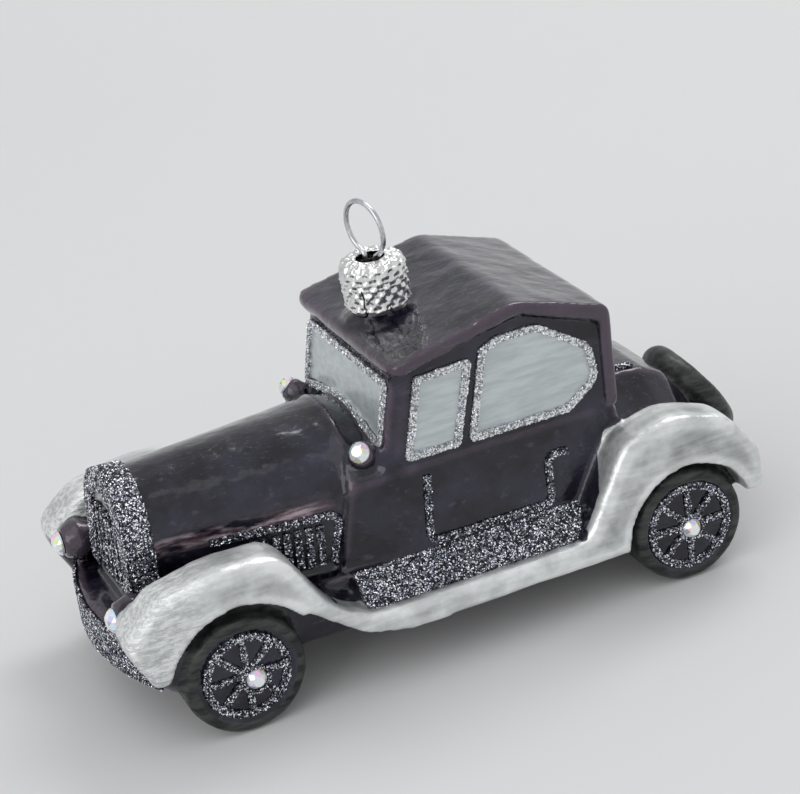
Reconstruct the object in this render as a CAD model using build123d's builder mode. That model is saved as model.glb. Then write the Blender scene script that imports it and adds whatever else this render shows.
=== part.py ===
from build123d import *
import os
from math import atan2, cos, degrees, hypot, radians, sin

# A blown-glass tree ornament in the shape of a 1920s coupe. The whole car, with its mudguards and
# wheels, is one glass form blown in a two-part mould, silvered and lacquered. On it lie glued
# layers of glitter and flat-back crystals. A pressed metal cap covers the neck in the roof, and
# a sprung wire hanger passes through the cap into the neck.
# Frame: +X to the front of the car, +Y to its left, +Z up, origin on the floor at the middle of
# the ornament's length. All sizes are in millimetres.

# Wheels, blown with the body
wheelbase = 92.0
front_axle_x = 48.0
wheel_radius = 11.7
wheel_inner_y = 14.5
tyre_face_y = 28.5
disc_face_y = 27.7
disc_radius = 9.6
tyre_round = 1.6

# Lower body between the wheels
belly_front_x = 60.0
belly_rear_x = -59.0
belly_inset = 0.9
belly_bottom_z = 8.0
belly_top_z = 20.5
belly_round = 3.0

# Bonnet: half width at its nose and at the cowl
bonnet_nose_x = 58.0
bonnet_nose_half = 11.5
bonnet_rear_x = 18.0
bonnet_rear_half = 17.8
bonnet_shoulder_z = 35.6
bonnet_nose_crown_z = 44.7
bonnet_rear_crown_z = 46.4

# Cowl, body tub and cabin
cowl_nose_x = 29.4
cowl_lean = 14.0
cowl_nose_half = 18.6
cowl_nose_shoulder = 37.2
cowl_nose_crown = 48.2
cowl_foot_crown_z = 43.0
body_front_x = 9.0
body_rear_x = -34.4
body_half = 21.4
body_bottom_z = 14.0
belt_z = 38.8
belt_round = 0.6
cabin_half = 20.6
cabin_front_half = 19.2
cabin_pillar = 2.6
screen_foot_x = 13.5
screen_foot_z = 40.0
screen_rake = 12.2

# Roof, folded down behind as a rear panel
roof_front_x = 11.0
roof_front_z = 59.6
roof_peak_x = -15.6
roof_peak_z = 64.9
roof_rear_x = -34.4
roof_rear_z = 59.0
roof_front_half = 23.6
roof_half = 22.4
roof_depth = 2.6
roof_round = 1.2
roof_plan_round = 3.0
roof_peak_round = 5.0
roof_heel_round = 3.0
roof_lap = 1.0
gable_reach = 0.9

# Rear deck sections: x, half width, side z, half width of the flat top, top z
deck_sections = [
    (-33.0, 19.6, 32.5, 11.0, 40.0),
    (-46.0, 17.2, 29.5, 10.0, 38.4),
    (-51.0, 15.8, 27.5, 9.4, 35.4),
    (-62.5, 12.0, 13.0, 8.4, 16.8),
]
deck_bottom_z = 9.0

# Mudguards and running boards, one ribbon seen from the side: x, z, corner radius
guard_ribbon = [
    (64.9, 15.2, 0.6),
    (69.8, 25.2, 4.5),
    (61.8, 32.0, 6.0),
    (50.0, 34.3, 20.0),
    (38.4, 33.8, 7.0),
    (29.0, 19.0, 11.0),
    (22.0, 15.8, 11.0),
    (-21.5, 15.8, 6.0),
    (-30.8, 33.2, 7.0),
    (-42.0, 36.4, 14.0),
    (-54.0, 32.3, 9.0),
    (-60.2, 24.0, 7.0),
    (-60.6, 15.2, 0.6),
    (-44.0, 15.2, 0.0),
    (-30.0, 10.2, 0.0),
    (22.0, 10.2, 0.0),
    (48.0, 15.2, 0.0),
]
# Underside of the running board, flared up to the front arch
guard_underside = [
    (-32.0, 9.0, 0.0),
    (-30.0, 10.8, 0.0),
    (17.0, 10.7, 8.0),
    (24.6, 12.6, 8.0),
    (35.5, 21.0, 0.0),
    (44.0, 9.0, 0.0),
]
guard_lap = 0.5
guard_outer_y = 29.6
guard_outer_round = 1.7
guard_inner_round = 1.7
wheel_well_y = 24.5
front_arch_radius = 14.6
rear_arch_radius = 13.3
board_bed_rise = 5.0
board_bed_width = 5.8
board_bed_sink = 2.0
board_bed_front_x = 23.0
board_bed_rear_x = -27.0

# Radiator, leaning back
radiator_foot_x = 62.4
radiator_foot_z = 20.0
radiator_lean = 3.0
radiator_depth = 6.0
radiator_half = 12.2
radiator_shoulder = 15.5
radiator_height = 25.2
grille_margin = 3.8
grille_sill = 2.4
grille_recess = 1.2
grille_header = 9.0

# Front apron, bowed in plan
apron_front_x = 68.4
apron_bow_radius = 52.4
apron_half = 27.0
apron_bottom_z = 12.0
apron_top_z = 20.0
apron_rear_x = 57.0

# Headlamps: radius and x of the widest part
lamp_y = 17.5
lamp_z = 25.0
lamp_radius = 4.3
lamp_face_x = 67.4
lamp_bowl_x = 64.0
lamp_tail_x = 56.0
lamp_face_radius = 3.0

# Spare wheel on the tail, and its lean from upright
spare_x = -61.31
spare_z = 25.0
spare_radius = 11.6
spare_half_width = 3.0
spare_lean = 33.0
spare_disc_radius = 8.4
spare_disc_recess = 0.8

# Neck and cap
neck_x = 2.5
neck_z = 61.5
neck_lean = 3.0
neck_radius = 5.0
neck_bore_radius = 4.0
neck_height = 9.2
neck_bore_depth = 12.0
neck_seat_radius = 6.9
cap_radius = 6.25
cap_height = 10.5
cap_wall = 0.4
cap_round = 2.0
cap_seat_gap = 0.15
cap_hole_radius = 2.7
cap_slit_count = 8
cap_slit_width = 0.7
cap_slit_height = 2.2

# Wire hanger
wire_radius = 0.5
ring_radius = 5.5
ring_rise = 5.6
ring_turn = 15.0
leg_spread = 2.9
leg_top_spread = 0.7
leg_tip = 1.5

# Crystals and glitter
crystal_radius = 2.0
crystal_table_radius = 1.1
crystal_girdle = 0.5
crystal_height = 1.6
crystal_sides = 8
cowl_crystal_x = 16.2
cowl_crystal_y = 17.0
cowl_crystal_z = 43.5
cowl_seat_height = 1.6
glitter = 0.5
glitter_line = 1.3
spoke_count = 8
spoke_width = 1.1
front_hub_shift_x = -1.6
front_hub_shift_z = -1.3
rear_hub_shift_x = -0.4
rear_hub_shift_z = -0.8
hub_ring_radius = 2.9
hub_ring_bore = 2.15
front_rim_radius = 8.4
rear_rim_radius = 8.9
rim_width = 1.3
spare_rim_radius = 8.0

# Panes: position along the wall, height, corner radius
screen_outline = [
    (-18.4, 2.0, 1.5),
    (0.0, 5.6, 40.0),
    (18.4, 2.0, 1.5),
    (18.9, 15.7, 1.5),
    (-18.9, 15.7, 1.5),
]
back_outline = [(-9.0, 45.5, 2.5), (9.0, 45.5, 2.5), (9.0, 54.5, 2.5), (-9.0, 54.5, 2.5)]
front_window_outline = [
    (-9.6, belt_z + 0.8, 1.0),
    (1.6, belt_z + 0.8, 1.0),
    (5.9, roof_front_z - 3.4, 1.0),
    (-5.8, roof_front_z - 4.0, 1.0),
]
rear_window_outline = [
    (3.5, belt_z + 0.8, 1.0),
    (24.5, belt_z + 0.8, 3.0),
    (31.2, belt_z + 5.7, 4.0),
    (30.0, roof_front_z - 7.6, 4.0),
    (19.5, roof_front_z - 0.7, 5.0),
    (11.2, roof_front_z - 0.7, 2.0),
    (7.6, roof_front_z - 2.4, 1.0),
]

# Bars and strokes of glitter: position along the wall and height
bar_count = 6
bar_width = 1.3
bar_gap = 0.8
radiator_skin_foot = 3.0
apron_glitter_half = 24.0
stroke_bend = 1.8
door_line = [(-6.0, 36.0), (-7.0, 22.4), (18.6, 22.4), (18.6, 32.2), (22.8, 32.2)]
deck_line = [(1.5, 0.0), (11.5, 0.0)]
louvre_top_z = 31.9
louvre_start = 11.5
louvre_end = 36.1
louvre_lean = 2.4
louvre_count = 7
louvre_pitch = 2.1
louvre_slant = 0.4
louvre_head_z = 30.1
louvre_foot_z = 22.2

os.makedirs("parts", exist_ok=True)


def write(part, name):
    """Label a finished piece and write it."""
    part.label = name
    export_step(part, f"parts/{name}.step")


def write_pair(part, name):
    """Write a left-hand piece and its mirror image on the right."""
    write(part, f"{name}_left")
    write(mirror(part, about=Plane.XZ), f"{name}_right")


# Places worked out from the driving dimensions
rear_axle_x = front_axle_x - wheelbase
axles = {"front": front_axle_x, "rear": rear_axle_x}
rake = radians(screen_rake)
lean = radians(radiator_lean)
tilt = radians(spare_lean)
neck_tilt = radians(neck_lean)
belly_half = body_half - belly_inset
guard_inner_y = belly_half - guard_lap
bonnet_length = bonnet_nose_x - bonnet_rear_x
bonnet_angle = atan2(bonnet_rear_half - bonnet_nose_half, bonnet_length)
bed_angle = atan2(board_bed_rise, board_bed_width)
board_top_z = guard_ribbon[6][1]
apron_centre_x = apron_front_x - apron_bow_radius
radiator_face = Plane(
    origin=(radiator_foot_x, 0, radiator_foot_z), x_dir=(0, 1, 0), z_dir=(cos(lean), 0, sin(lean))
)
screen_face = Plane(
    origin=(screen_foot_x, 0, screen_foot_z), x_dir=(0, 1, 0), z_dir=(cos(rake), 0, sin(rake))
)
cowl_nose = Plane(
    origin=(cowl_nose_x, 0, 0),
    x_dir=(0, 1, 0),
    z_dir=(cos(radians(cowl_lean)), 0, sin(radians(cowl_lean))),
)
spare_seat = Plane(
    origin=(spare_x, 0, spare_z), x_dir=(0, 1, 0), z_dir=(-cos(tilt), 0, sin(tilt))
)
neck_seat = Plane(
    origin=(neck_x, 0, neck_z), x_dir=(0, 1, 0), z_dir=(sin(neck_tilt), 0, cos(neck_tilt))
)
bonnet_side = Plane(
    origin=(bonnet_nose_x, bonnet_nose_half, 0),
    x_dir=(-cos(bonnet_angle), sin(bonnet_angle), 0),
    z_dir=(sin(bonnet_angle), cos(bonnet_angle), 0),
)
board_bed = Plane(
    origin=(0, body_half + board_bed_width, board_top_z),
    x_dir=(1, 0, 0),
    z_dir=(0, sin(bed_angle), cos(bed_angle)),
)

cowl_seat = Plane(
    origin=(cowl_crystal_x, cowl_crystal_y, cowl_crystal_z - cowl_seat_height), z_dir=(0.55, 0.6, 0.58)
)
neck_section = Plane(
    origin=neck_seat.origin, x_dir=(0, 1, 0), z_dir=(cos(neck_tilt), 0, -sin(neck_tilt))
)
cabin_side = Plane(origin=(0, cabin_half, 0), x_dir=(-1, 0, 0), z_dir=(0, 1, 0))
body_side = Plane(origin=(0, body_half, 0), x_dir=(-1, 0, 0), z_dir=(0, 1, 0))
back_face = Plane(origin=(roof_rear_x, 0, 0), x_dir=(0, -1, 0), z_dir=(-1, 0, 0))

deck_head, deck_knee = deck_sections[:2]
deck_fall = atan2(deck_head[4] - deck_knee[4], deck_head[0] - deck_knee[0])
deck_top = Plane(
    origin=(deck_head[0], deck_knee[3] - glitter_line, deck_head[4]),
    x_dir=(-cos(deck_fall), 0, -sin(deck_fall)),
    z_dir=(-sin(deck_fall), 0, cos(deck_fall)),
)
louvre_foot = louvre_end - louvre_lean
louvre_frame = [
    (louvre_start, louvre_top_z),
    (louvre_end, louvre_top_z),
    (louvre_foot, louvre_foot_z),
]
louvre_strokes = [louvre_frame]
for i in range(louvre_count):
    foot = louvre_foot - (i + 1) * louvre_pitch
    louvre_strokes.append([(foot + louvre_slant, louvre_head_z), (foot, louvre_foot_z)])

# Left mudguards and running board, with the wheel arches cut from the outside
with BuildPart() as guard:
    with BuildSketch(Plane.XZ.offset(-guard_inner_y)):
        with BuildLine():
            FilletPolyline(
                *[(x, z) for x, z, corner in guard_ribbon],
                radius=[corner for x, z, corner in guard_ribbon],
                close=True,
            )
        make_face()
    extrude(amount=guard_inner_y - guard_outer_y)
    with BuildSketch(Plane.XZ.offset(-wheel_well_y)):
        with Locations((front_axle_x, wheel_radius)):
            Circle(front_arch_radius)
        with Locations((rear_axle_x, wheel_radius)):
            Circle(rear_arch_radius)
    extrude(amount=wheel_well_y - guard_outer_y, mode=Mode.SUBTRACT)
    top_edges = guard.edges().filter_by(lambda e: e.center().Z > board_top_z - 1)
    outer_edges = top_edges.filter_by_position(Axis.Y, guard_outer_y - 0.01, guard_outer_y + 0.01)
    arches = outer_edges.filter_by(
        lambda e: min(hypot(e.center().X - x, e.center().Z - wheel_radius) for x in axles.values())
        < front_arch_radius + 0.1
    )
    fillet(outer_edges - arches, radius=guard_outer_round)
    top_edges = guard.edges().filter_by(lambda e: e.center().Z > board_top_z - 1)
    fillet(
        top_edges.filter_by_position(Axis.Y, guard_inner_y - 0.01, guard_inner_y + 0.01),
        radius=guard_inner_round,
    )
    with BuildSketch(Plane.XZ.offset(-guard_inner_y)):
        with BuildLine():
            FilletPolyline(
                *[(x, z) for x, z, corner in guard_underside],
                radius=[corner for x, z, corner in guard_underside],
                close=True,
            )
        make_face()
    extrude(amount=guard_inner_y - guard_outer_y, mode=Mode.SUBTRACT)

# Wheel, drawn about the Y axis: tyre with rounded shoulders and a sunk disc
with BuildPart() as wheel:
    with BuildSketch():
        with BuildLine():
            Polyline(
                (0, wheel_inner_y),
                (wheel_radius, wheel_inner_y),
                (wheel_radius, tyre_face_y - tyre_round),
            )
            RadiusArc(
                (wheel_radius, tyre_face_y - tyre_round),
                (wheel_radius - tyre_round, tyre_face_y),
                -tyre_round,
            )
            Polyline(
                (wheel_radius - tyre_round, tyre_face_y),
                (disc_radius, tyre_face_y),
                (disc_radius, disc_face_y),
                (0, disc_face_y),
                (0, wheel_inner_y),
            )
        make_face()
    revolve(axis=Axis.Y)

# Headlamp bowl, turned about its own X axis
with BuildPart() as lamp:
    with BuildSketch(Plane.XZ):
        with BuildLine():
            Polyline((lamp_tail_x, 0), (lamp_face_x, 0), (lamp_face_x, lamp_face_radius))
            Line((lamp_face_x, lamp_face_radius), (lamp_bowl_x, lamp_radius))
            Line((lamp_bowl_x, lamp_radius), (lamp_tail_x, 0))
        make_face()
    revolve(axis=Axis.X)

# Spare wheel, turned about the normal of its seat on the tail
with BuildPart() as spare_wheel:
    with BuildSketch(Plane.XZ):
        with BuildLine():
            Polyline(
                (0, -spare_half_width),
                (spare_radius - spare_half_width, -spare_half_width),
            )
            RadiusArc(
                (spare_radius - spare_half_width, -spare_half_width),
                (spare_radius - spare_half_width, spare_half_width),
                -spare_half_width,
            )
            Polyline(
                (spare_radius - spare_half_width, spare_half_width),
                (spare_disc_radius, spare_half_width),
                (spare_disc_radius, spare_half_width - spare_disc_recess),
                (0, spare_half_width - spare_disc_recess),
                (0, -spare_half_width),
            )
        make_face()
    revolve(axis=Axis.Z)

# Lower body and apron
with BuildPart() as belly:
    with BuildSketch(Plane.XY.offset(belly_bottom_z)):
        with Locations(((belly_front_x + belly_rear_x) / 2, 0)):
            Rectangle(belly_front_x - belly_rear_x, 2 * belly_half)
    extrude(amount=belly_top_z - belly_bottom_z)
    chamfer(belly.edges().filter_by(Axis.Z).group_by(Axis.X)[0], length=belly_half / 2)
    fillet(belly.faces().sort_by(Axis.Z)[0].edges(), radius=belly_round)
    with BuildSketch(Plane.XY.offset(apron_bottom_z)):
        with Locations((apron_centre_x, 0)):
            Circle(apron_bow_radius)
        with Locations(((apron_rear_x + apron_front_x) / 2, 0)):
            Rectangle(apron_front_x - apron_rear_x, 2 * apron_half, mode=Mode.INTERSECT)
    extrude(amount=apron_top_z - apron_bottom_z)

# Roof, a folded sheet that overhangs the cabin and turns down behind it
with BuildPart() as roof:
    with BuildSketch(Plane.XZ):
        with BuildLine():
            FilletPolyline(
                (roof_front_x, roof_front_z - roof_depth),
                (roof_front_x, roof_front_z),
                (roof_peak_x, roof_peak_z),
                (roof_rear_x, roof_rear_z),
                (roof_rear_x, belt_z),
                (roof_rear_x + roof_depth, belt_z),
                (roof_rear_x + roof_depth, roof_rear_z - roof_depth),
                (roof_peak_x, roof_peak_z - roof_depth),
                radius=[0, roof_round, roof_peak_round, roof_heel_round, 0, 0, roof_lap, roof_peak_round],
                close=True,
            )
        make_face()
    extrude(amount=roof_front_half, both=True)
    with BuildSketch():
        with BuildLine():
            FilletPolyline(
                (roof_front_x, roof_front_half),
                (roof_peak_x, roof_half),
                (roof_rear_x, roof_half),
                (roof_rear_x, -roof_half),
                (roof_peak_x, -roof_half),
                (roof_front_x, -roof_front_half),
                radius=[roof_plan_round, 0, roof_lap, roof_lap, 0, roof_plan_round],
                close=True,
            )
        make_face()
    extrude(amount=roof_peak_z, mode=Mode.INTERSECT)

# The glass form, with everything blown in one piece
with BuildPart() as glass_body:
    add(belly.part)

    # Bonnet, then the cowl that widens to the body, as arched sections
    bonnet_sections = [
        (Plane.YZ.offset(bonnet_nose_x), bonnet_nose_half, bonnet_shoulder_z, bonnet_nose_crown_z),
        (Plane.YZ.offset(bonnet_rear_x), bonnet_rear_half, bonnet_shoulder_z, bonnet_rear_crown_z),
    ]
    cowl_sections = [
        (cowl_nose, cowl_nose_half, cowl_nose_shoulder, cowl_nose_crown),
        (Plane.YZ.offset(body_front_x), body_half, belt_z, cowl_foot_crown_z),
    ]
    for sections in (bonnet_sections, cowl_sections):
        for plane, half, shoulder, top in sections:
            with BuildSketch(plane):
                with BuildLine():
                    Polyline(
                        (-half, shoulder),
                        (-half, body_bottom_z),
                        (half, body_bottom_z),
                        (half, shoulder),
                    )
                    ThreePointArc((half, shoulder), (0, top), (-half, shoulder))
                make_face()
        loft(ruled=True)

    # Body tub with its belt ledge, and the cabin that rises from it
    with BuildSketch(Plane.XY.offset(body_bottom_z)):
        with Locations(((body_front_x + body_rear_x) / 2, 0)):
            Rectangle(body_front_x - body_rear_x, 2 * body_half)
    extrude(amount=belt_z - body_bottom_z)
    for z in (belt_z - roof_lap, roof_front_z - roof_lap):
        front_x = screen_foot_x - (z - screen_foot_z) * sin(rake) / cos(rake)
        with BuildSketch(Plane.XY.offset(z)):
            Polygon(
                (front_x, cabin_front_half),
                (front_x - cabin_pillar, cabin_half),
                (body_rear_x + roof_lap, cabin_half),
                (body_rear_x + roof_lap, -cabin_half),
                (front_x - cabin_pillar, -cabin_half),
                (front_x, -cabin_front_half),
                align=None,
            )
    loft(ruled=True)

    # Gables that close the cabin under the roof, then the roof itself
    with BuildSketch(Plane.XZ):
        Polygon(
            (roof_peak_x + gable_reach * (roof_front_x - roof_peak_x), roof_front_z - 2 * roof_lap),
            (roof_peak_x, roof_peak_z - roof_depth / 2),
            (roof_peak_x + gable_reach * (roof_rear_x - roof_peak_x), roof_front_z - 2 * roof_lap),
            align=None,
        )
    extrude(amount=cabin_half, both=True)
    add(roof.part)

    # Rear deck
    for x, half, side, top_half, top in deck_sections:
        with BuildSketch(Plane.YZ.offset(x)):
            Polygon(
                (-half, deck_bottom_z),
                (half, deck_bottom_z),
                (half, side),
                (top_half, top),
                (-top_half, top),
                (-half, side),
                align=None,
            )
    loft(ruled=True)

    # Radiator shell with its sunk grille
    with BuildSketch(radiator_face):
        with BuildLine():
            Polyline(
                (-radiator_half, radiator_shoulder),
                (-radiator_half, 0),
                (radiator_half, 0),
                (radiator_half, radiator_shoulder),
            )
            ThreePointArc(
                (radiator_half, radiator_shoulder),
                (0, radiator_height),
                (-radiator_half, radiator_shoulder),
            )
        make_face()
    extrude(amount=-radiator_depth)
    with BuildSketch(radiator_face) as grille_opening:
        with BuildLine():
            Polyline(
                (grille_margin - radiator_half, radiator_shoulder),
                (grille_margin - radiator_half, grille_sill),
                (radiator_half - grille_margin, grille_sill),
                (radiator_half - grille_margin, radiator_shoulder),
            )
            ThreePointArc(
                (radiator_half - grille_margin, radiator_shoulder),
                (0, radiator_height - grille_margin),
                (grille_margin - radiator_half, radiator_shoulder),
            )
        make_face()
    extrude(amount=-grille_recess, mode=Mode.SUBTRACT)

    # Running-board beds, mudguards, wheels and headlamps on each side
    with BuildSketch(Plane.YZ.offset(board_bed_rear_x)):
        Polygon(
            (body_half + board_bed_width, board_top_z),
            (body_half, board_top_z + board_bed_rise),
            (-body_half, board_top_z + board_bed_rise),
            (-body_half - board_bed_width, board_top_z),
            (-body_half - board_bed_width, board_top_z - board_bed_sink),
            (body_half + board_bed_width, board_top_z - board_bed_sink),
            align=None,
        )
    extrude(amount=board_bed_front_x - board_bed_rear_x)
    left_side = [guard.part, lamp.part.moved(Location((0, lamp_y, lamp_z)))]
    left_side += [wheel.part.moved(Location((x, 0, wheel_radius))) for x in axles.values()]
    add(left_side)
    add([mirror(piece, about=Plane.XZ, mode=Mode.PRIVATE) for piece in left_side])

    # Spare wheel on the tail
    add(spare_wheel.part.moved(spare_seat.location))

    # Raised seats for the cowl crystals
    with BuildSketch(cowl_seat) as cowl_pad:
        Circle(crystal_radius + glitter)
    for pad in (cowl_pad.sketch, mirror(cowl_pad.sketch, about=Plane.XZ, mode=Mode.PRIVATE)):
        extrude(pad, amount=cowl_seat_height)
        extrude(pad, amount=-cowl_seat_height)

    # Neck on a flat seat in the roof, bored for the hanger's legs
    with BuildSketch(neck_seat):
        Circle(neck_seat_radius)
    extrude(amount=-roof_depth)
    with BuildSketch(neck_seat):
        Circle(neck_seat_radius)
    extrude(amount=neck_height, mode=Mode.SUBTRACT)
    with BuildSketch(neck_seat):
        Circle(neck_radius)
    extrude(amount=neck_height)
    with BuildSketch(neck_seat.offset(neck_height)):
        Circle(neck_bore_radius)
    extrude(amount=-neck_height - neck_bore_depth, mode=Mode.SUBTRACT)

write(glass_body.part, "glass_body")

# Cap: a pressed cup with a round top edge, a hole for the wire and a slit skirt
cap_bore = cap_radius - cap_wall
cap_rim_n = cap_seat_gap
cap_top_n = cap_seat_gap + cap_height
with BuildPart() as cap:
    with BuildSketch(neck_section):
        with BuildLine():
            FilletPolyline(
                (cap_bore, cap_rim_n),
                (cap_radius, cap_rim_n),
                (cap_radius, cap_top_n),
                (cap_hole_radius, cap_top_n),
                (cap_hole_radius, cap_top_n - cap_wall),
                (cap_bore, cap_top_n - cap_wall),
                radius=[0, 0, cap_round, 0, 0, cap_round - cap_wall],
                close=True,
            )
        make_face()
    revolve(axis=Axis(neck_seat.origin, neck_seat.z_dir))
    with BuildSketch(neck_seat.offset(cap_rim_n)):
        with PolarLocations(cap_radius, cap_slit_count):
            Rectangle(4 * cap_wall, cap_slit_width)
    extrude(amount=cap_slit_height, mode=Mode.SUBTRACT)
write(cap.part, "cap")

# Hanger: a wire ring over the cap with two legs that spread inside the neck
ring_along = neck_seat.x_dir * cos(radians(ring_turn)) + neck_seat.y_dir * sin(radians(ring_turn))
ring_seat = Plane(origin=neck_seat.origin, x_dir=ring_along, z_dir=neck_seat.z_dir)
ring_centre_n = cap_top_n + ring_rise
with BuildPart() as hanger:
    with BuildSketch(ring_seat.offset(ring_centre_n)):
        with Locations((ring_radius, 0)):
            Circle(wire_radius)
    revolve(axis=Axis(ring_seat.offset(ring_centre_n).origin, ring_seat.y_dir))
    for side in (-1, 1):
        top = ring_seat.from_local_coords((side * leg_top_spread, 0, ring_centre_n - ring_radius))
        tip = ring_seat.from_local_coords((side * leg_spread, 0, leg_tip))
        with BuildSketch(Plane(origin=top, z_dir=tip - top)):
            Circle(wire_radius)
        extrude(amount=(tip - top).length)
write(hanger.part, "hanger")

# Discs of the wheels, and the hubs, which were glued a little off their middles
outward = (0, 1, 0)
front_disc = Plane((front_axle_x, disc_face_y, wheel_radius), z_dir=outward)
rear_disc = Plane((rear_axle_x, disc_face_y, wheel_radius), z_dir=outward)
spare_disc = spare_seat.offset(spare_half_width - spare_disc_recess)
front_hub = Plane(
    front_disc.origin + Vector(front_hub_shift_x, 0, front_hub_shift_z), z_dir=outward
)
rear_hub = Plane(rear_disc.origin + Vector(rear_hub_shift_x, 0, rear_hub_shift_z), z_dir=outward)

# Crystals, cut with a flat table, on the lamps, the cowl and the hubs, and one on the spare wheel
crystals = {
    "headlamp_crystal": Plane((lamp_face_x, lamp_y, lamp_z), z_dir=(1, 0, 0)),
    "cowl_crystal": cowl_seat.offset(cowl_seat_height),
    "front_hub_crystal": front_hub,
    "rear_hub_crystal": rear_hub,
    "spare_wheel_crystal": spare_disc,
}
for name, seat in crystals.items():
    with BuildPart() as crystal:
        for height, radius in (
            (0, crystal_radius),
            (crystal_girdle, crystal_radius),
            (crystal_height, crystal_table_radius),
        ):
            with BuildSketch(seat.offset(height)):
                RegularPolygon(radius, crystal_sides)
        loft(ruled=True)
    if name == "spare_wheel_crystal":
        write(crystal.part, name)
    else:
        write_pair(crystal.part, name)

# Glitter on the wheels: a rim, eight spokes and a ring round the hub crystal
wheel_lines = {
    "front_wheel_glitter": (front_disc, front_hub, front_rim_radius),
    "rear_wheel_glitter": (rear_disc, rear_hub, rear_rim_radius),
    "spare_wheel_glitter": (spare_disc, spare_disc, spare_rim_radius),
}
for name, (seat, hub, rim) in wheel_lines.items():
    spoke_length = rim - rim_width / 2
    with BuildPart() as wheel_glitter:
        with BuildSketch(seat):
            Circle(rim)
            Circle(rim - rim_width, mode=Mode.SUBTRACT)
            with PolarLocations(spoke_length / 2, spoke_count):
                Rectangle(spoke_length, spoke_width)
        extrude(amount=glitter)
        with BuildSketch(hub):
            Circle(hub_ring_radius)
        extrude(amount=glitter)
        with BuildSketch(hub):
            Circle(hub_ring_bore)
        extrude(amount=glitter, mode=Mode.SUBTRACT)
    if name == "spare_wheel_glitter":
        write(wheel_glitter.part, name)
    else:
        write_pair(wheel_glitter.part, name)

# Glitter borders of the panes: each is an outline and its plane, drawn inwards by one line width
panes = {
    "windscreen_glitter": (screen_face, screen_outline),
    "back_window_glitter": (back_face, back_outline),
    "front_window_glitter": (cabin_side, front_window_outline),
    "rear_window_glitter": (cabin_side, rear_window_outline),
}
for name, (plane, outline) in panes.items():
    with BuildPart() as pane_glitter:
        with BuildSketch(plane):
            with BuildLine():
                FilletPolyline(
                    *[(u, v) for u, v, corner in outline],
                    radius=[corner for u, v, corner in outline],
                    close=True,
                )
            make_face()
            offset(amount=-glitter_line, kind=Kind.INTERSECTION, mode=Mode.SUBTRACT)
        extrude(amount=glitter)
    if name in ("windscreen_glitter", "back_window_glitter"):
        write(pane_glitter.part, name)
    else:
        write_pair(pane_glitter.part, name)

# Glitter on the radiator: a skin over the shell, open at the grille, and upright bars in the grille
with BuildPart() as grille_shell_glitter:
    with BuildSketch(radiator_face.offset(glitter)):
        with BuildLine():
            Polyline(
                (-radiator_half - glitter, radiator_shoulder),
                (-radiator_half - glitter, radiator_skin_foot),
                (radiator_half + glitter, radiator_skin_foot),
                (radiator_half + glitter, radiator_shoulder),
            )
            ThreePointArc(
                (radiator_half + glitter, radiator_shoulder),
                (0, radiator_height + glitter),
                (-radiator_half - glitter, radiator_shoulder),
            )
        make_face()
    extrude(amount=glitter - radiator_depth)
    add(glass_body.part, mode=Mode.SUBTRACT)
    extrude(grille_opening.sketch, amount=2 * glitter, mode=Mode.SUBTRACT)
    extrude(grille_opening.sketch, amount=-grille_recess, mode=Mode.SUBTRACT)
write(grille_shell_glitter.part, "grille_shell_glitter")

grille_width = 2 * (radiator_half - grille_margin)
bar_foot = grille_sill + bar_gap
bar_head = radiator_height - grille_header
with BuildPart() as grille_bars_glitter:
    with BuildSketch(radiator_face.offset(-grille_recess)):
        with Locations((0, (bar_foot + bar_head) / 2)):
            with GridLocations(grille_width / bar_count, 0, bar_count, 1):
                Rectangle(bar_width, bar_head - bar_foot)
    extrude(amount=grille_recess)
write(grille_bars_glitter.part, "grille_bars_glitter")

# Glitter on the front of the bowed apron
with BuildPart() as apron_glitter:
    with BuildSketch(Plane.XY.offset(apron_bottom_z)):
        with Locations((apron_centre_x, 0)):
            Circle(apron_bow_radius + glitter)
        with Locations(((apron_rear_x + apron_front_x + glitter) / 2, 0)):
            Rectangle(
                apron_front_x + glitter - apron_rear_x, 2 * apron_glitter_half, mode=Mode.INTERSECT
            )
    extrude(amount=apron_top_z - apron_bottom_z)
    add(glass_body.part, mode=Mode.SUBTRACT)
write(apron_glitter.part, "apron_glitter")

# Glitter beds on the running boards
bed_length = hypot(board_bed_rise, board_bed_width)
with BuildPart() as board_glitter:
    with BuildSketch(board_bed):
        with Locations(((board_bed_front_x + board_bed_rear_x) / 2, -bed_length / 2)):
            Rectangle(board_bed_front_x - board_bed_rear_x, bed_length)
    extrude(amount=glitter)
    add(glass_body.part, mode=Mode.SUBTRACT)
write_pair(board_glitter.part, "running_board_glitter")

# Glitter along the door's edge, the louvres of the bonnet and the lines on the deck
strokes = {
    "door_line_glitter": (body_side, [door_line]),
    "louvre_glitter": (bonnet_side, louvre_strokes),
    "deck_line_glitter": (deck_top, [deck_line]),
}
for name, (plane, lines) in strokes.items():
    with BuildPart() as stroke_glitter:
        for line in lines:
            with BuildSketch(plane) as stroke:
                with BuildLine() as stroke_path:
                    FilletPolyline(*line, radius=stroke_bend) if len(line) > 2 else Line(*line)
                trace(stroke_path.line, line_width=glitter_line)
            extrude(amount=glitter)
    write_pair(stroke_glitter.part, name)
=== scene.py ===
import math

import bmesh
import bpy
import numpy as np
from mathutils import Matrix, Vector, noise
from mathutils.bvhtree import BVHTree


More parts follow.
